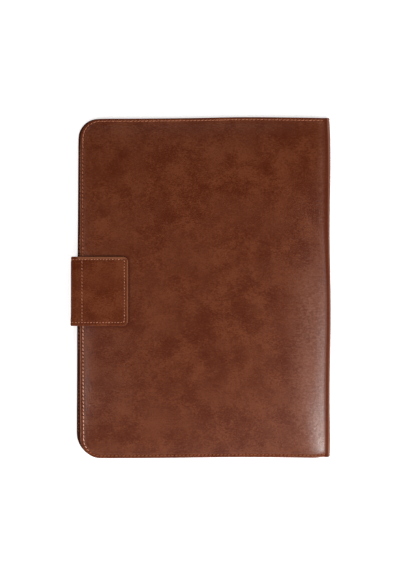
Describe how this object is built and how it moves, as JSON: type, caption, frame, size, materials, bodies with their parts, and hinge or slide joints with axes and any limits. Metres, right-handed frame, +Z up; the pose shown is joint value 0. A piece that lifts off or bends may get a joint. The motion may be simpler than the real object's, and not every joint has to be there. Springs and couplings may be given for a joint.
{
  "type": "laptop sleeve",
  "caption": "Flat folded leather sleeve for a laptop, with sewn sides, an open mouth and a wide leather tab that wraps round the mouth and closes it.",
  "frame": {"origin": "centre of the plan, on the surface that the sleeve lies on", "axes": "+X from the mouth to the fold, +Y along the mouth, +Z up from the surface"},
  "size_m": [0.259, 0.34, 0.0167],
  "materials": {
    "body_leather": "mottled brown, half gloss",
    "tab_leather": "mottled brown, half gloss",
    "clasp_metal": "nickel plated, satin"
  },
  "bodies": {
    "root": {"leather_body": "body_leather", "closure_tab": "tab_leather", "tab_clasp": "clasp_metal"}
  },
  "joints": []
}
